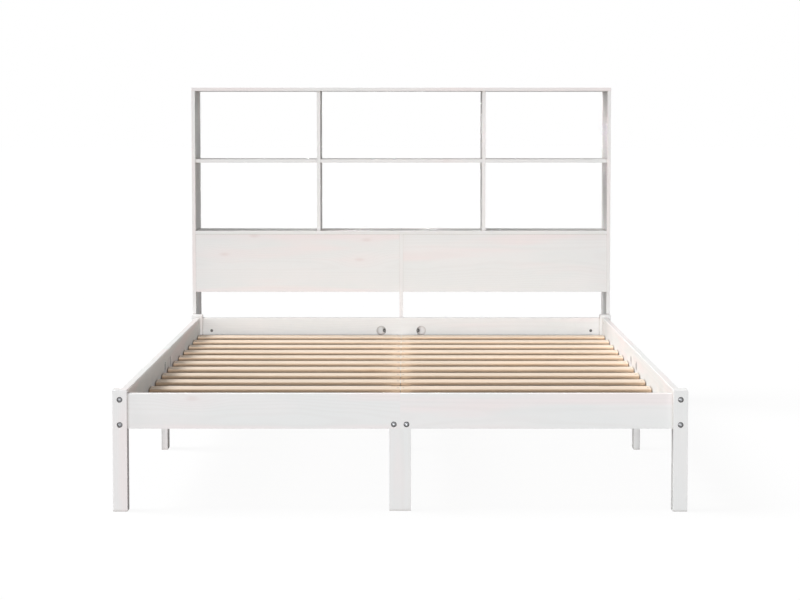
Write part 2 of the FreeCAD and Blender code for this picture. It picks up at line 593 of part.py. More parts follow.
def bottom_shelf():
    """Bottom shelf, its front flush with the side panels."""
    length = f"(2 * {CASE_INNER})"
    body = board("bottom_shelf", (f"0 - {CASE_INNER}", HEAD, "dim.bottom_low"),
                 (length, "dim.bottom_deep", "dim.board"), "dim.board_round", runs_along("x"))
    end_grain_bores(body, length, "0")
    low = f"(0 - {CASE_INNER})"
    from_below = [(x, depth, "0") for x in dividers_x(low) for depth in SCREW_DEPTHS]
    from_above = [(CASE_INNER, depth, "0") for depth in SCREW_DEPTHS]
    bore(body, "screw_bores", "z", "dim.board", False, "dim.board", CASE_BORE, from_below + from_above)
    countersink(body, "divider_seats", "z", "0", True, "dim.case_screw", from_below)
    countersink(body, "upright_seats", "z", "dim.board", False, "dim.case_screw", from_above)
    bore(body, "divider_pegs", "z", "dim.board", False, "dim.peg_sink", PEG_BORE,
         [(x, PEG_DEPTH, "0") for x in dividers_x(low)])


def divider(side, hand):
    """Full-height divider. It crosses the middle shelf in a slot cut from its back."""
    high = f"({TOP_LOW} - {BOTTOM_TOP})"
    low_x = mirrored(hand, "dim.divider_at - dim.board / 2", "dim.board")
    body = board(f"divider_{side}", (low_x, f"{HEAD} + dim.shelf_back", BOTTOM_TOP),
                 ("dim.board", "dim.shelf_deep", high), "dim.board_round", runs_along("z"))
    for name, start, forward in (("low", "0", True), ("high", high, False)):
        bore(body, f"{name}_pilots", "z", start, forward, END_GRAIN, CASE_BORE,
             [("dim.board / 2", f"{depth} - dim.shelf_back", "0") for depth in SCREW_DEPTHS])
        bore(body, f"{name}_peg", "z", start, forward, PEG_LEFT, PEG_BORE,
             [("dim.board / 2", f"{PEG_DEPTH} - dim.shelf_back", "0")])
    tall = "(dim.board + dim.slot_free)"
    notch(body, "slot", "x", "0", True, "dim.board",
          ("0", "dim.shelf_deep / 2", f"dim.middle_low - {BOTTOM_TOP} - dim.slot_free / 2"),
          ("0", "dim.shelf_deep / 2", tall))


def centre_upright():
    """Upright under the middle of the bottom shelf, between the head panels."""
    body = board("centre_upright", ("0 - dim.board / 2", HEAD, "0"),
                 ("dim.board", "dim.bottom_deep", "dim.bottom_low"), "dim.board_round", runs_along("z"))
    bore(body, "shelf_pilots", "z", "dim.bottom_low", False, END_GRAIN, CASE_BORE,
         [("dim.board / 2", depth, "0") for depth in SCREW_DEPTHS])
    bore(body, "peg_bores", "x", "0", True, "dim.board", PEG_BORE,
         [("0", HEAD_DEPTH, row) for row in HEAD_ROWS])


def head_panel(side, hand):
    """Panel behind the pillows, between a side panel and the centre upright."""
    length = f"({CASE_INNER} - dim.board / 2)"
    body = board(f"head_panel_{side}",
                 (mirrored(hand, "dim.board / 2", length), f"{HEAD} + dim.head_back", "dim.head_low"),
                 (length, "dim.board", "dim.bottom_low - dim.head_low"), "dim.board_round", runs_along("x"))
    rows = [("0", "dim.board / 2", f"{row} - dim.head_low") for row in HEAD_ROWS]
    outer, inner = (length, "0") if hand > 0 else ("0", length)
    bore(body, "screw_pilots", "x", outer, hand < 0, END_GRAIN, CASE_BORE, rows)
    bore(body, "peg_bores", "x", inner, hand > 0, "(dim.peg_long - dim.board) / 2 + 1", PEG_BORE, rows)


for side_name, side_hand in SIDES:
    side_panel(side_name, side_hand)
    divider(side_name, side_hand)
    head_panel(side_name, side_hand)
top_board()
middle_shelf()
bottom_shelf()
centre_upright()


# ---------------------------------------------------------------- fastener patterns
def primitive(kind, name, sizes, place=(0, 0, 0)):
    """A Part primitive: sizes maps its properties to expressions."""
    solid = doc.addObject(f"Part::{kind}", name)
    for key, expression in sizes.items():
        solid.setExpression(key, expression)
    for letter, where in zip("xyz", place):
        solid.setExpression(f".Placement.Base.{letter}", str(where))
    return solid


def fused(name, solids):
    """The union of some solids."""
    union = doc.addObject("Part::MultiFuse", name)
    union.Shapes = solids
    return union


def paired(kind, name, base, tool):
    """A Part boolean of two solids."""
    result = doc.addObject(f"Part::{kind}", name)
    result.Base = base
    result.Tool = tool
    return result


def difference(name, base, tool):
    """One solid less another."""
    return paired("Cut", name, base, tool)


def overlap(name, base, tool):
    """What two solids share."""
    return paired("Common", name, base, tool)


def bolt(name, long):
    """Domed bolt with a hexagon socket. It points along +Z from under its head."""
    disc = primitive("Cylinder", f"{name}_disc", {"Radius": "dim.bolt_head / 2", "Height": "dim.head_thick"},
                     (0, 0, "0 - dim.head_thick"))
    ball = primitive("Sphere", f"{name}_ball", {"Radius": "dim.head_dome"},
                     (0, 0, "dim.head_dome - dim.head_thick"))
    head = overlap(f"{name}_head", disc, ball)
    shank = primitive("Cylinder", f"{name}_shank", {"Radius": "dim.bolt / 2", "Height": long})
    socket = primitive("Prism", f"{name}_socket",
                       {"Circumradius": "dim.hex_key / sqrt(3)", "Height": "dim.head_thick + 1"},
                       (0, 0, "0 - dim.head_thick"))
    socket.Polygon = 6
    return difference(name, fused(f"{name}_blank", [head, shank]), socket)


def screw(name, wide, long):
    """Countersunk screw with a cross recess. Its head is flush at z = 0 and it points along +Z."""
    half = f"{wide} / 2"
    head = primitive("Cone", f"{name}_head", {"Radius1": wide, "Radius2": half, "Height": half})
    shank = primitive("Cylinder", f"{name}_shank", {"Radius": half, "Height": f"{long} - 1.5 * {wide}"})
    tip = primitive("Cone", f"{name}_tip", {"Radius1": half, "Radius2": "0.3", "Height": f"1.5 * {wide}"},
                    (0, 0, f"{long} - 1.5 * {wide}"))
    arms = []
    for letter, shares in (("a", (1.1, 0.22)), ("b", (0.22, 1.1))):
        across, along = (f"{wide} * {share}" for share in shares)
        arms.append(primitive("Box", f"{name}_recess_{letter}",
                              {"Length": across, "Width": along, "Height": "1"},
                              (f"0 - {across} / 2", f"0 - {along} / 2", 0)))
    return difference(name, fused(f"{name}_blank", [head, shank, tip]), fused(f"{name}_recess", arms))


def wooden_dowel(name, wide, long):
    """Dowel along +Z, centred at its middle, with bevelled ends."""
    rod = primitive("Cylinder", f"{name}_rod", {"Radius": f"{wide} / 2", "Height": long},
                    (0, 0, f"0 - {long} / 2"))
    ends = doc.addObject("Part::Chamfer", name)
    ends.Base = rod
    ends.Edges = [(1, 1.0, 1.0), (3, 1.0, 1.0)]
    return ends


def barrel_nut():
    """Barrel nut along +Z, centred, threaded across along X, with a slot in its upper end."""
    body = primitive("Cylinder", "barrel_body", {"Radius": "dim.barrel / 2", "Height": "dim.barrel_long"},
                     (0, 0, "0 - dim.barrel_long / 2"))
    thread = primitive("Cylinder", "barrel_thread",
                       {"Radius": "dim.bolt / 2 + 0.1", "Height": "2 * dim.barrel"})
    thread.Placement = Placement(Vector(0, 0, 0), Rotation(Vector(0, 1, 0), 90))
    thread.setExpression(".Placement.Base.x", "0 - dim.barrel")
    slot = primitive("Box", "barrel_slot", {"Length": "2 * dim.barrel", "Width": "1.4", "Height": "1.5"},
                     ("0 - dim.barrel", "0 - 0.7", "dim.barrel_long / 2 - 1.5"))
    return difference("barrel_nut", body, fused("barrel_cuts", [thread, slot]))


def crescent_plate():
    """Plate between a pocket's round wall and a flat nut. +X points to the rail's joint."""
    disc = primitive("Cylinder", "crescent_disc",
                     {"Radius": "dim.pocket / 2 - 0.1", "Height": "dim.crescent_high"},
                     (0, 0, "0 - dim.crescent_high / 2"))
    block = primitive("Box", "crescent_block",
                      {"Length": "dim.pocket", "Width": "dim.pocket", "Height": "dim.crescent_high"},
                      ("dim.crescent_seat", "0 - dim.pocket / 2", "0 - dim.crescent_high / 2"))
    segment = overlap("crescent_segment", disc, block)
    hole = primitive("Cylinder", "crescent_hole", {"Radius": "dim.bolt / 2 + 0.2", "Height": "dim.pocket"})
    hole.Placement = Placement(Vector(0, 0, 0), Rotation(Vector(0, 1, 0), 90))
    return difference("crescent", segment, hole)


def hexagon_nut():
    """Hexagon nut along +X from the origin, with two flats level."""
    prism = primitive("Prism", "nut_blank",
                      {"Circumradius": "dim.nut_flats / sqrt(3)", "Height": "dim.nut_thick"})
    prism.Polygon = 6
    prism.Placement = Placement(Vector(0, 0, 0), Rotation(Vector(0, 1, 0), 90))
    hole = primitive("Cylinder", "nut_thread", {"Radius": "dim.bolt / 2 + 0.1", "Height": "dim.nut_thick"})
    hole.Placement = Placement(Vector(0, 0, 0), Rotation(Vector(0, 1, 0), 90))
    return difference("nut", prism, hole)


def bracket():
    """Angle bracket in the corner at its origin, with a countersunk hole in each leg.

    One leg runs along -X and the other along +Y.
    """
    thick = "dim.bracket_thick"
    tall = "dim.bracket_high"
    cross = primitive("Box", "bracket_cross", {"Length": "dim.bracket", "Width": thick, "Height": tall},
                      ("0 - dim.bracket", 0, 0))
    along = primitive("Box", "bracket_along", {"Length": thick, "Width": "dim.bracket", "Height": tall},
                      (f"0 - {thick}", 0, 0))
    holes = []
    for name, inward, x, y in (("cross", Vector(0, -1, 0), f"0 - {BRACKET_HOLE}", thick),
                               ("along", Vector(1, 0, 0), f"0 - {thick}", BRACKET_HOLE)):
        through = {"Radius": f"{BRACKET_BORE} / 2", "Height": f"2 * {thick}"}
        seat = {"Radius1": "dim.bracket_screw + 0.2", "Radius2": "0.2", "Height": "dim.bracket_screw"}
        for hole in (primitive("Cylinder", f"bracket_{name}_hole", through),
                     primitive("Cone", f"bracket_{name}_seat", seat)):
            hole.Placement = Placement(Vector(0, 0, 0), Rotation(Vector(0, 0, 1), inward))
            for letter, where in zip("xyz", (x, y, f"{tall} / 2")):
                hole.setExpression(f".Placement.Base.{letter}", where)
            holes.append(hole)
    return difference("bracket_plate", fused("bracket_legs", [cross, along]), fused("bracket_holes", holes))


rail_bolt = bolt("rail_bolt", "dim.rail_bolt_long")
beam_bolt = bolt("beam_bolt", "dim.beam_bolt_long")
leg_bolt = bolt("leg_bolt", "dim.leg_bolt_long")
frame_screw = screw("frame_screw", "dim.frame_screw", "dim.frame_screw_long")
slat_screw = screw("slat_screw", "dim.slat_screw", "dim.slat_screw_long")
case_screw = screw("case_screw", "dim.case_screw", "dim.case_screw_long")
bracket_screw = screw("bracket_screw", "dim.bracket_screw", "dim.bracket_screw_long")
base_dowel = wooden_dowel("base_dowel", "dim.dowel", "dim.dowel_long")
case_peg = wooden_dowel("case_peg", "dim.peg", "dim.peg_long")
barrel_pattern = barrel_nut()
crescent_pattern = crescent_plate()
nut_pattern = hexagon_nut()
bracket_pattern = bracket()
doc.recompute()

X, Y, Z = DIRECTIONS["x"], DIRECTIONS["y"], DIRECTIONS["z"]


def facing(direction, start=Z):
    """The turn that takes a pattern's axis to a direction."""
    return Rotation(start, direction)


def group(label, placed):
    """One node of separate solids: placed lists (pattern, point, rotation)."""
    copies = []
    for pattern, point, turn in placed:
        copy = pattern.Shape.copy()
        copy.Placement = Placement(point, turn).multiply(copy.Placement)
        copies.append(copy)
    feature = doc.addObject("Part::Feature", label)
    feature.Label = label
    feature.Shape = Part.makeCompound(copies)
    nodes.append(feature)


# ---------------------------------------------------------------- slat rows
for k in SLAT_ROWS:
    low_y = f"{slat_line(k)} - dim.slat_wide / 2"
    right = spot("dim.slat_apart / 2", low_y, BEARER_TOP)
    left = spot(f"0 - dim.slat_apart / 2 - {SLAT_LONG}", low_y, BEARER_TOP)
    group(f"slat_row_{k:02d}", [(slat_pattern, left, Rotation()), (slat_pattern, right, Rotation())])

# ---------------------------------------------------------------- fasteners of the bed base
POST_X = f"({EDGE} - dim.post / 2)"
END_Y = {"foot": f"({FOOT} + dim.post / 2)", "head": f"({HEAD} - dim.post / 2)"}
rail_bolts, barrels, beam_bolts, leg_bolts = [], [], [], []
rods, nuts, crescents, dowels, frame_screws, slat_screws = [], [], [], [], [], []


def height(row):
    """Z of a bolt or dowel row that is given above the rails' underside."""
    return f"dim.rail_low + {row}"


for side_name, hand in SIDES:
    for end_name, at_head in ENDS:
        outward = f"{hand} * ({EDGE} - dim.head_sink)"
        middle = height("dim.mid_bolt")
        rail_bolts.append((rail_bolt, spot(outward, END_Y[end_name], middle), facing(X * -hand)))
        rear = f"{END_Y[end_name]} + {at_head} * (dim.post / 2 - dim.head_sink)"
        barrel_end = f"{END_Y[end_name]} - {at_head} * (dim.post / 2 + dim.barrel_in)"
        for row in ("low", "high"):
            level = height(f"dim.{row}_bolt")
            rail_bolts.append((rail_bolt, spot(f"{hand} * {POST_X}", rear, level), facing(Y * -at_head)))
            barrels.append((barrel_pattern, spot(f"{hand} * {POST_X}", barrel_end, level),
                            Rotation(Y, Z, X * -hand, "ZXY")))
        barrels.append((barrel_pattern, spot(f"{hand} * ({END_HALF} - dim.barrel_in)", END_Y[end_name],
                                             height("dim.mid_bolt")), Rotation(X, Z, Y * -at_head, "ZXY")))
        for row in DOWEL_ROWS["post"]:
            dowels.append((base_dowel, spot(f"{hand} * {END_HALF}", END_Y[end_name], height(row)), facing(X)))
        for k in gaps_of(at_head):
            frame_screws.append((frame_screw, spot(f"{hand} * ({INNER} - dim.rail_thick)", gap_line(k),
                                                   height("dim.bearer_high / 2")), facing(X * hand)))
        leg_y = f"{MIDDLE} + {at_head} * dim.leg_bolt_at"
        leg_bolts.append((leg_bolt, spot(f"{hand} * ({EDGE} - {INSET} - dim.head_sink)", leg_y,
                                         height("dim.low_bolt")), facing(X * -hand)))
        nuts.append((nut_pattern, spot(f"{hand} * ({INNER} - dim.rail_thick)", leg_y, height("dim.low_bolt")),
                     facing(X * -hand, X)))
        front = f"{END_Y[end_name]} + {at_head} * (dim.rail_thick / 2 - dim.head_sink)"
        level = height("dim.low_bolt")
        beam_bolts.append((beam_bolt, spot(f"{hand} * dim.leg_bolt_at", front, level), facing(Y * -at_head)))
        barrel_y = f"{END_Y[end_name]} - {at_head} * (dim.rail_thick / 2 + dim.barrel_in)"
        barrels.append((barrel_pattern, spot(f"{hand} * dim.leg_bolt_at", barrel_y, level),
                        Rotation(Y, X, Z * -1, "ZXY")))
        end_pocket = spot(f"{hand} * dim.pocket_end_at", END_Y[end_name], height("dim.mid_bolt"))
        crescents.append((crescent_pattern, end_pocket, Rotation(X * -hand, Z, Y, "XYZ")))
        nut_x = f"{hand} * (dim.pocket_end_at - dim.crescent_seat)"
        nuts.append((nut_pattern, spot(nut_x, END_Y[end_name], height("dim.mid_bolt")), facing(X * hand, X)))
        side_pocket = spot(f"{hand} * {POST_X}", f"{MIDDLE} + {at_head} * dim.pocket_side_at",
                           height("dim.mid_bolt"))
        crescents.append((crescent_pattern, side_pocket, Rotation(Y * -at_head, Z, X, "XYZ")))
        nut_y = f"{MIDDLE} + {at_head} * (dim.pocket_side_at - dim.crescent_seat)"
        nuts.append((nut_pattern, spot(f"{hand} * {POST_X}", nut_y, height("dim.mid_bolt")),
                     facing(Y * at_head, X)))
    for row in DOWEL_ROWS["joint"]:
        dowels.append((base_dowel, spot(f"{hand} * {POST_X}", MIDDLE, height(row)), facing(Y)))
    frame_screws.append((frame_screw, spot(f"{hand} * dim.leg_bolt_at", MIDDLE, BEARER_TOP), facing(Z * -1)))
for end_name, _ in ENDS:
    for row in DOWEL_ROWS["joint"]:
        dowels.append((base_dowel, spot("0", END_Y[end_name], height(row)), facing(X)))
slat_top = f"{BEARER_TOP} + dim.slat_thick"
slat_ends = ("(dim.slat_apart / 2 + dim.slat_screw_in)", f"({INNER} - dim.slat_free - dim.slat_screw_in)")
for k in SLAT_ROWS:
    for x in [f"{hand} * {end}" for hand in (-1, 1) for end in slat_ends]:
        slat_screws.append((slat_screw, spot(x, screw_line(k), slat_top), facing(Z * -1)))


def joint_rod(name, centre_to_pocket):
    """Threaded rod along +Z, centred on a rail's joint, to just past the nuts in both pockets."""
    reach = f"{centre_to_pocket} - dim.crescent_seat + dim.nut_thick + dim.rod_spare"
    rod = primitive("Cylinder", name, {"Radius": "dim.bolt / 2", "Height": f"2 * ({reach})"},
                    (0, 0, f"0 - ({reach})"))
    doc.recompute()
    return rod


end_rod = joint_rod("end_rod", "dim.pocket_end_at")
side_rod = joint_rod("side_rod", "dim.pocket_side_at")
for end_name, _ in ENDS:
    rods.append((end_rod, spot("0", END_Y[end_name], height("dim.mid_bolt")), facing(X)))
for hand in (-1, 1):
    rods.append((side_rod, spot(f"{hand} * {POST_X}", MIDDLE, height("dim.mid_bolt")), facing(Y)))

group("rail_bolts", rail_bolts)
group("barrel_nuts", barrels)
group("beam_bolts", beam_bolts)
group("leg_bolts", leg_bolts)
group("joint_rods", rods)
group("hexagon_nuts", nuts)
group("crescent_plates", crescents)
group("base_dowels", dowels)
group("frame_screws", frame_screws)
group("slat_screws", slat_screws)

# ---------------------------------------------------------------- fasteners of the bookcase
screws, pegs, brackets, bracket_screws = [], [], [], []
depths = [f"{HEAD} + {depth}" for depth in SCREW_DEPTHS]
peg_y = f"{HEAD} + {PEG_DEPTH}"
head_y = f"{HEAD} + {HEAD_DEPTH}"
for side_name, hand in SIDES:
    inward = facing(X * -hand)
    for row in SHELF_ROWS:
        screws += [(case_screw, spot(f"{hand} * {EDGE}", depth, row), inward) for depth in depths]
        pegs.append((case_peg, spot(f"{hand} * ({CASE_INNER} + dim.peg_sink - dim.peg_long / 2)", peg_y, row),
                     facing(X)))
    for row in HEAD_ROWS:
        screws.append((case_screw, spot(f"{hand} * {EDGE}", head_y, row), inward))
    for x in (f"{hand} * ({EDGE} - dim.board / 2)", f"{hand} * dim.divider_at"):
        screws += [(case_screw, spot(x, depth, "dim.case_high"), facing(Z * -1)) for depth in depths]
        pegs.append((case_peg, spot(x, peg_y, f"{TOP_LOW} + dim.peg_sink - dim.peg_long / 2"), facing(Z)))
    screws += [(case_screw, spot(f"{hand} * dim.divider_at", depth, "dim.bottom_low"), facing(Z))
               for depth in depths]
    pegs.append((case_peg, spot(f"{hand} * dim.divider_at", peg_y,
                                f"{BOTTOM_TOP} - dim.peg_sink + dim.peg_long / 2"), facing(Z)))
    for low in ("dim.bracket_low", "dim.bracket_top"):
        corner = spot(f"{hand} * {CASE_INNER}", HEAD, low)
        middle = f"{low} + dim.bracket_high / 2"
        if hand > 0:
            brackets.append((bracket_pattern, corner, Rotation()))
        else:
            brackets.append((bracket_pattern, corner + Vector(0, 0, number("dim.bracket_high")),
                             Rotation(X * -1, Y, Z * -1, "XYZ")))
        bracket_screws.append((bracket_screw, spot(f"{hand} * ({CASE_INNER} - dim.bracket_thick)",
                                                   f"{HEAD} + {BRACKET_HOLE}", middle), facing(X * hand)))
        bracket_screws.append((bracket_screw, spot(f"{hand} * ({CASE_INNER} - {BRACKET_HOLE})",
                                                   f"{HEAD} + dim.bracket_thick", middle), facing(Y * -1)))
for depth in depths:
    screws.append((case_screw, spot("0", depth, BOTTOM_TOP), facing(Z * -1)))
for row in HEAD_ROWS:
    pegs.append((case_peg, spot("0", head_y, row), facing(X)))

group("bookcase_screws", screws)
group("bookcase_dowels", pegs)
group("linking_brackets", brackets)
group("bracket_screws", bracket_screws)

# ---------------------------------------------------------------- checks and files
doc.recompute()
for item in doc.Objects:
    if "Invalid" in item.State or "Error" in item.State:
        raise RuntimeError(f"{item.Label} failed: {item.State}")
for pocket in cuts:
    removed = pocket.BaseFeature.Shape.Volume - pocket.Shape.Volume
    if removed < 1.0:
        raise RuntimeError(f"{pocket.Label} takes no material away")
for node in nodes:
    if node.Shape.isNull() or not node.Shape.isValid():
        raise RuntimeError(f"{node.Label} has no valid shape")
os.makedirs("parts", exist_ok=True)
for node in nodes:
    node.Shape.exportStep(f"parts/{node.Label}.step")
print(len(nodes), "nodes,", sum(len(node.Shape.Solids) for node in nodes), "solids")
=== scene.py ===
"""Looks of the bookcase headboard bed: stained pine, bare slats, zinc-plated fasteners, studio.

Metres, in the model's own frame: X across the bed, +Y towards the bookcase, +Z up.
"""

import json
import math
import random

import bpy
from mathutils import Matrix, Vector


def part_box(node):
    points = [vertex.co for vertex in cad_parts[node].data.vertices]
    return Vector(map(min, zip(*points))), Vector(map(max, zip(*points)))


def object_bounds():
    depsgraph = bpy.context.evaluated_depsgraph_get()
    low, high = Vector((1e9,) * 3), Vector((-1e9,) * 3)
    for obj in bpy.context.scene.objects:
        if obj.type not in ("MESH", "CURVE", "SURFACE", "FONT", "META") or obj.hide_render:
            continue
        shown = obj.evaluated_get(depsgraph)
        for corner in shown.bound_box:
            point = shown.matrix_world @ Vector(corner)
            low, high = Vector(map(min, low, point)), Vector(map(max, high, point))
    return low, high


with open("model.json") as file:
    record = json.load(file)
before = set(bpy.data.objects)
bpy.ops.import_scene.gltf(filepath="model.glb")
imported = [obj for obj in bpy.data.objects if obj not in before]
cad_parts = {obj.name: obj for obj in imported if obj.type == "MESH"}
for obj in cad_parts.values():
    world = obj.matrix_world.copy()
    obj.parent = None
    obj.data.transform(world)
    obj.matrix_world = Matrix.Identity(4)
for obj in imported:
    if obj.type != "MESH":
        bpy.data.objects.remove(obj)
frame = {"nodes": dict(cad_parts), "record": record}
cad_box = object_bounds()
rng = random.Random(7)

# ---------------------------------------------------------------- colours
# As they look on screen, from 0 to 255.
PINE = {
    "pale": (234, 233, 232),
    "cool": (231, 232, 231),
    "warm": (237, 230, 229),
    "ring": (222, 219, 217),
    "knot": (214, 196, 192),
    # Painted shade: the colour the wood is multiplied by in inner corners and recesses.
    "corner_shade": (214, 209, 205),
}
SLAT = {
    "pale": (240, 223, 205),
    "cool": (233, 217, 199),
    "warm": (243, 221, 198),
    "ring": (222, 202, 180),
    "knot": (203, 172, 144),
    # Painted warm shade: the slats' sides and rounded edges are multiplied by this, in place of warm
    # bounced light.
    "edge": (255, 240, 225),
}
BEECH = {
    "pale": (214, 182, 146),
    "cool": (208, 178, 144),
    "warm": (218, 180, 142),
    "ring": (196, 160, 124),
    "knot": (190, 150, 112),
}
ZINC = (132, 133, 135)
# A darker zinc, as painted shade for pieces deep in bores and pockets.
SHADED_ZINC = (106, 105, 104)
# Painted shade: these nodes get a darker, rougher plate, since most of their pieces lie in the shade of
# bores and round pockets.
SHADED_NODES = ("barrel_nuts", "hexagon_nuts", "crescent_plates", "joint_rods")

# ---------------------------------------------------------------- figure of the wood
# Each board takes its figure from another place: metres along the grain, cells across it.
FIGURE_SHIFT = 9
CELL_SHIFT = 5
# A knot may lie in each cell of a pattern with so many cells to the metre.
CELLS_ALONG = 2.6
CELLS_ACROSS = 7.0
# How far a knot's surroundings and its core reach, as a share of a cell.
KNOT_REACH = 0.3
KNOT_CORE = 0.07
# How far a knot pushes the rings aside.
KNOT_PUSH = 0.012
# The pith's place beside the board's centre line and below or above it, and how far it wanders.
PITH_ASIDE = 0.03
PITH_DEEP = (0.035, 0.08)
WANDER_ASIDE = 0.03
WANDER_DEEP = 0.02
# How far apart the rings of a board lie, at least and at most.
RING_PITCH = (0.0042, 0.0058)
# How strongly each part of the figure colours the wood.
RING_TINT = 0.14
FIBRE_TINT = 0.16
KNOT_HALO_TINT = 0.5
KNOT_CORE_TINT = 0.3
# How high a ring stands, where a fibre stands 1 high.
RING_HEIGHT = 0.5
# How far from an inner corner the wood is darkened with painted shade.
CORNER_SHADE_WIDTH = 0.012
WOOD_ROUGHNESS = 0.62


def linear(rgb):
    """A screen colour as Blender's linear colour."""
    share = [value / 255 for value in rgb]
    return tuple(v / 12.92 if v <= 0.04045 else ((v + 0.055) / 1.055) ** 2.4 for v in share) + (1.0,)


class Nodes:
    """Short calls for building the node tree of one material or world."""

    def __init__(self, owner):
        owner.use_nodes = True
        self.tree = owner.node_tree

    def add(self, kind, **settings):
        node = self.tree.nodes.new(kind)
        for key, value in settings.items():
            setattr(node, key, value)
        return node

    def feed(self, socket, value):
        """Links value to the socket if it is a socket itself, and otherwise sets it there."""
        if isinstance(value, bpy.types.NodeSocket):
            self.tree.links.new(value, socket)
        else:
            socket.default_value = value

    def feed_all(self, sockets, values):
        for socket, value in zip(sockets, values):
            self.feed(socket, value)

    def math(self, operation, *values):
        node = self.add("ShaderNodeMath", operation=operation)
        self.feed_all(node.inputs, values)
        return node.outputs[0]

    def around(self, noise, middle, reach):
        """Turns a noise from 0 to 1 into values from middle - reach to middle + reach."""
        return self.math("MULTIPLY_ADD", noise, 2 * reach, middle - reach)

    def vector(self, x, y, z):
        node = self.add("ShaderNodeCombineXYZ")
        self.feed_all(node.inputs, (x, y, z))
        return node.outputs[0]

    def noise(self, vector, scale, detail, roughness):
        node = self.add("ShaderNodeTexNoise")
        self.feed(node.inputs["Vector"], vector)
        self.feed(node.inputs["Scale"], scale)
        self.feed(node.inputs["Detail"], detail)
        self.feed(node.inputs["Roughness"], roughness)
        return node.outputs["Fac"]

    def ramp(self, value, low, high):
        """0 at low, 1 at high, smooth in between."""
        node = self.add("ShaderNodeMapRange", interpolation_type="SMOOTHSTEP", clamp=True)
        self.feed(node.inputs["Value"], value)
        self.feed(node.inputs["From Min"], low)
        self.feed(node.inputs["From Max"], high)
        return node.outputs["Result"]

    def mix(self, factor, first, second, blend="MIX"):
        node = self.add("ShaderNodeMix", data_type="RGBA", blend_type=blend)
        self.feed(node.inputs["Factor"], factor)
        self.feed(node.inputs[6], first)
        self.feed(node.inputs[7], second)
        return node.outputs[2]

    def mix_shaders(self, factor, first, second):
        node = self.add("ShaderNodeMixShader")
        self.feed_all(node.inputs, (factor, first, second))
        return node.outputs[0]

    def white(self, kind, brightness=1.0):
        """A shader node of one kind in white, or in a grey of that brightness."""
        node = self.add(kind)
        node.inputs["Color"].default_value = (brightness, brightness, brightness, 1)
        return node

    def bump(self, height, strength, distance):
        node = self.add("ShaderNodeBump")
        self.feed(node.inputs["Strength"], strength)
        self.feed(node.inputs["Distance"], distance)
        self.feed(node.inputs["Height"], height)
        return node.outputs["Normal"]


def new_material(name):
    """A material, the calls that build its nodes, and its shader's sockets."""
    material = bpy.data.materials.new(name)
    n = Nodes(material)
    return material, n, n.tree.nodes["Principled BSDF"].inputs


# ---------------------------------------------------------------- wood
def knot_pattern(n, along, across, knots):
    """1 round the knots, and 1 in their cores; knots is the share of the cells that have one."""
    cell = n.add("ShaderNodeTexVoronoi", voronoi_dimensions="2D", feature="F1")
    cell_along = n.math("MULTIPLY", along, CELLS_ALONG)
    cell_across = n.math("MULTIPLY_ADD", across, CELLS_ACROSS, rng.uniform(-CELL_SHIFT, CELL_SHIFT))
    n.feed(cell.inputs["Vector"], n.vector(cell_along, cell_across, 0.0))
    n.feed(cell.inputs["Scale"], 1.0)
    chance = n.add("ShaderNodeSeparateColor")
    n.feed(chance.inputs[0], cell.outputs["Color"])
    has_knot = n.math("LESS_THAN", chance.outputs[0], knots)
    near = n.math("MULTIPLY", n.ramp(cell.outputs["Distance"], low=KNOT_REACH, high=0.0), has_knot)
    core = n.math("MULTIPLY", n.ramp(cell.outputs["Distance"], low=KNOT_CORE, high=0.0), has_knot)
    return near, core


def growth_rings(n, across, deep, wander, near):
    """Rings round a pith that wanders along the board, pushed aside by the knots."""
    pith_aside = rng.uniform(-PITH_ASIDE, PITH_ASIDE)
    pith_deep = rng.choice((-1, 1)) * rng.uniform(*PITH_DEEP)
    aside = n.math("ADD", across, n.around(wander, pith_aside, WANDER_ASIDE))
    below = n.math("ADD", deep, n.around(wander, pith_deep, WANDER_DEEP))
    squares = n.math("ADD", n.math("MULTIPLY", aside, aside), n.math("MULTIPLY", below, below))
    radius = n.math("MULTIPLY_ADD", near, KNOT_PUSH, n.math("SQRT", squares))
    phase = n.math("MULTIPLY", radius, 2 * math.pi / rng.uniform(*RING_PITCH))
    return n.ramp(n.math("SINE", phase), low=-0.4, high=1.0)


def painted_corner_shade(n, colour, corner_shade):
    """Painted shade: darkens colour towards a given colour in the corners where boards meet and in
    recesses.
    """
    corner = n.add("ShaderNodeAmbientOcclusion", samples=8)
    corner.inputs["Distance"].default_value = CORNER_SHADE_WIDTH
    # The share of painted shade grows where the surroundings close in.
    painted_shade_share = n.ramp(corner.outputs["AO"], low=0.9, high=0.3)
    return n.mix(painted_shade_share, colour, linear(corner_shade), "MULTIPLY")


def browner_edges(n, colour, edge, thin):
    """Painted warm shade: multiplies colour by a browner colour on the faces that don't look along the
    axis thin.
    """
    facing = n.add("ShaderNodeSeparateXYZ")
    n.feed(facing.inputs[0], n.add("ShaderNodeTexCoord").outputs["Normal"])
    sideways = n.ramp(n.math("ABSOLUTE", facing.outputs[thin]), low=0.95, high=0.35)
    return n.mix(sideways, colour, linear(edge), "MULTIPLY")


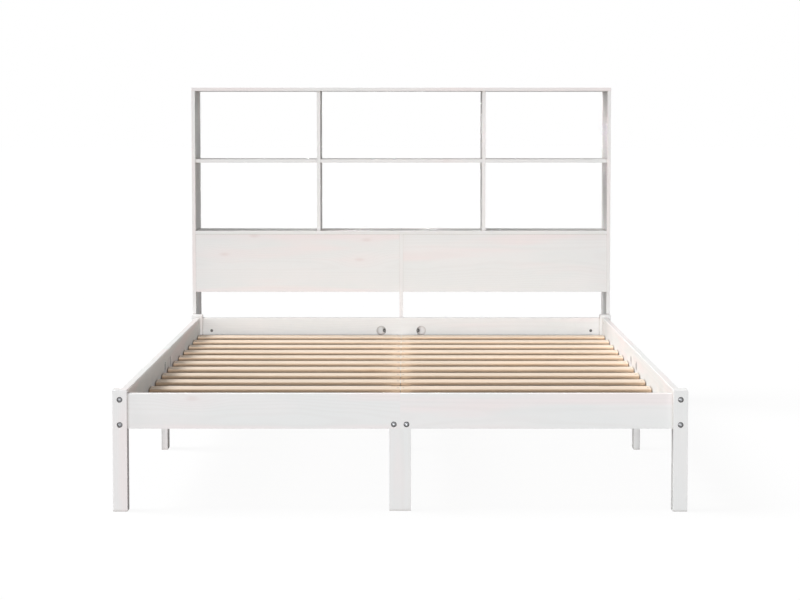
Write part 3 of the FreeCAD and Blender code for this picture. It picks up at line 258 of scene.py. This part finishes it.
def wood(name, grain, thin, middle, colours, figure=1.0, knots=0.35):
    """Planed softwood for one board: growth rings round a pith below the face, knots and fibres.

    grain and thin are the axes of the board's length and thickness, and middle is its centre.
    Two optional colours paint shade: one is painted warm shade on the board's sides and rounded edges, the
    other painted shade in its corners and recesses.
    """
    material, n, surface = new_material(name)
    axes = {"X": 0, "Y": 1, "Z": 2}
    wide = (set(axes) - {grain, thin}).pop()
    split = n.add("ShaderNodeSeparateXYZ")
    n.feed(split.inputs[0], n.add("ShaderNodeTexCoord").outputs["Object"])
    along = n.math("ADD", split.outputs[grain], rng.uniform(-FIGURE_SHIFT, FIGURE_SHIFT))
    across = n.math("SUBTRACT", split.outputs[wide], middle[axes[wide]])
    deep = n.math("SUBTRACT", split.outputs[thin], middle[axes[thin]])

    def stretched(pace, aside=0.0):
        """The place on the board for a noise that changes more slowly along the grain."""
        return n.vector(n.math("MULTIPLY", along, pace), n.math("ADD", across, aside), deep)

    near, core = knot_pattern(n, along, across, knots)
    wander = n.noise(stretched(pace=0.35), scale=3.0, detail=3.0, roughness=0.5)
    ring = growth_rings(n, across, deep, wander, near)
    patch = n.noise(stretched(pace=0.35), scale=9.0, detail=2.0, roughness=0.55)
    tint = n.noise(stretched(pace=0.12, aside=3.0), scale=14.0, detail=2.0, roughness=0.5)
    fibre = n.noise(stretched(pace=0.02), scale=900.0, detail=2.0, roughness=0.6)
    dark_fibre = n.ramp(fibre, low=0.55, high=0.8)

    cool = n.ramp(patch, low=0.35, high=0.65)
    warm = n.ramp(tint, low=0.52, high=0.70)
    colour = n.mix(cool, linear(colours["pale"]), linear(colours["cool"]))
    colour = n.mix(warm, colour, linear(colours["warm"]))
    colour = n.mix(n.math("MULTIPLY", ring, RING_TINT * figure), colour, linear(colours["ring"]))
    colour = n.mix(n.math("MULTIPLY", dark_fibre, FIBRE_TINT * figure), colour, linear(colours["ring"]))
    colour = n.mix(n.math("MULTIPLY", near, KNOT_HALO_TINT), colour, linear(colours["warm"]))
    colour = n.mix(n.math("MULTIPLY", core, KNOT_CORE_TINT), colour, linear(colours["knot"]))
    # Painted shade in inner corners and recesses.
    if "corner_shade" in colours:
        colour = painted_corner_shade(n, colour, colours["corner_shade"])
    # Painted warm shade on the sides and rounded edges.
    if "edge" in colours:
        colour = browner_edges(n, colour, colours["edge"], thin)

    n.feed(surface["Base Color"], colour)
    n.feed(surface["Roughness"], n.around(fibre, WOOD_ROUGHNESS, reach=0.06))
    surface["Specular IOR Level"].default_value = 0.06
    height = n.math("ADD", n.math("MULTIPLY", ring, RING_HEIGHT), fibre)
    n.feed(surface["Normal"], n.bump(height, strength=0.25, distance=0.0004))
    return material


# ---------------------------------------------------------------- metal
def metal(name, colour, rough):
    """Plated steel, with a faint crystalline unevenness."""
    material, n, surface = new_material(name)
    place = n.add("ShaderNodeTexCoord").outputs["Object"]
    cloud = n.noise(place, scale=260.0, detail=3.0, roughness=0.6)
    grain = n.noise(place, scale=700.0, detail=2.0, roughness=0.5)
    darker = [0.9 * value for value in colour]
    n.feed(surface["Base Color"], n.mix(cloud, linear(colour), linear(darker)))
    surface["Metallic"].default_value = 1.0
    n.feed(surface["Roughness"], n.around(cloud, rough, reach=0.08))
    n.feed(surface["Normal"], n.bump(grain, strength=0.15, distance=0.0002))
    return material


# ---------------------------------------------------------------- which node gets what
def dress(node, material):
    """Gives a node's object one material in all its slots, or in a new one if it has none."""
    piece = frame["nodes"][node]
    if not piece.material_slots:
        piece.data.materials.append(material)
    for slot in piece.material_slots:
        slot.material = material


zinc = metal("zinc_plate", ZINC, rough=0.30)
shaded_zinc = metal("shaded_zinc_plate", SHADED_ZINC, rough=0.60)
slot_of = {part["node"]: part["material_slot"] for part in frame["record"]["subparts"]}
for node in sorted(frame["nodes"]):
    low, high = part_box(node)
    size = high - low
    thinnest, _, longest = sorted("XYZ", key=lambda letter: size["XYZ".index(letter)])
    middle = (low + high) / 2
    if slot_of[node] == "white_stained_pine":
        dress(node, wood(f"pine_{node}", longest, thinnest, middle, PINE))
    elif slot_of[node] == "slat_wood":
        dress(node, wood(f"slat_{node}", "X", "Z", middle, SLAT, figure=2.0, knots=0.12))
    elif slot_of[node] == "beech":
        dress(node, wood(f"beech_{node}", "X", "Z", middle, BEECH, knots=0.0))
    # Painted shade for the pieces in bores and pockets.
    elif node in SHADED_NODES:
        dress(node, shaded_zinc)
    else:
        dress(node, zinc)


# ---------------------------------------------------------------- studio
def place_in_scene(name, data):
    """A new object in the scene for a mesh, lamp or camera."""
    thing = bpy.data.objects.new(name, data)
    bpy.context.scene.collection.objects.link(thing)
    return thing


def white_for_camera(n, light_shader, white_shader):
    """Shows white_shader to camera, mirror and glass rays, and light_shader to all others."""
    ray = n.add("ShaderNodeLightPath").outputs
    seen = n.math("MAXIMUM", ray["Is Camera Ray"], ray["Is Glossy Ray"])
    seen = n.math("MAXIMUM", seen, ray["Is Transmission Ray"])
    return n.mix_shaders(seen, light_shader, white_shader)


def studio_world(strength):
    """Even light of that strength from all round, which the camera sees as plain white."""
    world = bpy.data.worlds.new("studio")
    bpy.context.scene.world = world
    n = Nodes(world)
    fill = n.tree.nodes["Background"]
    fill.inputs["Color"].default_value = (1, 1, 1, 1)
    fill.inputs["Strength"].default_value = strength
    white = n.white("ShaderNodeBackground")
    shown = white_for_camera(n, fill.outputs[0], white.outputs[0])
    n.feed(n.tree.nodes["World Output"].inputs["Surface"], shown)


def floor_paint(bounce, shadow):
    """White to the camera, with a share that takes shadow, and a grey of that bounce to other rays."""
    paint = bpy.data.materials.new("floor_paint")
    n = Nodes(paint)
    n.tree.nodes.remove(n.tree.nodes["Principled BSDF"])
    matt = n.white("ShaderNodeBsdfDiffuse", bounce)
    glow = n.white("ShaderNodeEmission")
    lit = n.white("ShaderNodeBsdfDiffuse")
    bright = n.mix_shaders(shadow, glow.outputs[0], lit.outputs[0])
    shown = white_for_camera(n, matt.outputs[0], bright)
    n.feed(n.tree.nodes["Material Output"].inputs["Surface"], shown)
    return paint


def studio_floor(reach, drop):
    """A wide floor just below the feet, so that the two don't coincide."""
    mesh = bpy.data.meshes.new("floor")
    corners = [(-reach, -reach, 0), (reach, -reach, 0), (reach, reach, 0), (-reach, reach, 0)]
    mesh.from_pydata(corners, [], [(0, 1, 2, 3)])
    mesh.materials.append(floor_paint(bounce=0.15, shadow=0.08))
    floor = place_in_scene("floor", mesh)
    floor.location.z = -drop


def softbox(name, towards, strength, spread, colour=(1.0, 1.0, 1.0)):
    """A distant soft light that stands in the direction towards.

    At a strength of 1, it alone shows a white board that faces it as white.
    """
    light = bpy.data.lights.new(name, "SUN")
    light.energy = strength * math.pi
    light.angle = spread
    light.color = colour
    lamp = place_in_scene(name, light)
    lamp.rotation_euler = Vector(towards).to_track_quat("Z", "Y").to_euler()


def front_panel(distance, height, wide, high, strength, colour):
    """A lamp panel far in front of the foot end, as strong there as a softbox of that strength."""
    light = bpy.data.lights.new("front_panel", "AREA")
    light.shape = "RECTANGLE"
    light.size = wide
    light.size_y = high
    light.energy = strength * (math.pi * distance) ** 2
    light.color = colour
    lamp = place_in_scene("front_panel", light)
    lamp.location = (0.0, cad_box[0][1] - distance, height)
    lamp.rotation_euler = (math.radians(90), 0, 0)
    lamp.visible_camera = False


def studio_camera(lens, shift, aside, distance, height, tilt):
    """The photograph's view: in front of the foot end, and tilted down by so many degrees."""
    camera = bpy.data.cameras.new("camera")
    camera.sensor_width = 36.0
    camera.lens = lens
    camera.shift_x, camera.shift_y = shift
    camera.clip_start = 0.1
    camera.clip_end = 200.0
    camera_object = place_in_scene("camera", camera)
    camera_object.location = (aside, cad_box[0][1] - distance, height)
    camera_object.rotation_euler = (math.radians(90 - tilt), 0, 0)
    bpy.context.scene.camera = camera_object


studio_world(strength=0.35)
studio_floor(reach=60.0, drop=0.0005)
# A broad light from the upper left, a low panel in front, and fills from the left, back and right.
softbox("key", (-0.67, 0.06, 0.74), strength=0.92, spread=0.6, colour=(1.0, 0.995, 0.99))
front_panel(distance=20.0, height=1.4, wide=0.7, high=1.0, strength=0.55, colour=(0.985, 0.985, 1.0))
softbox("left_fill", (-0.45, -0.89, 0.07), strength=0.20, spread=0.3)
softbox("back_fill", (-0.01, 1.0, 0.0), strength=0.40, spread=0.06)
softbox("right_fill", (1.0, 0.0, 0.0), strength=0.35, spread=0.02)
studio_camera(lens=95.753, shift=(-0.005, -0.06), aside=0.0097, distance=5.3384, height=1.0016, tilt=3.671)
bpy.context.scene.view_settings.view_transform = "Standard"
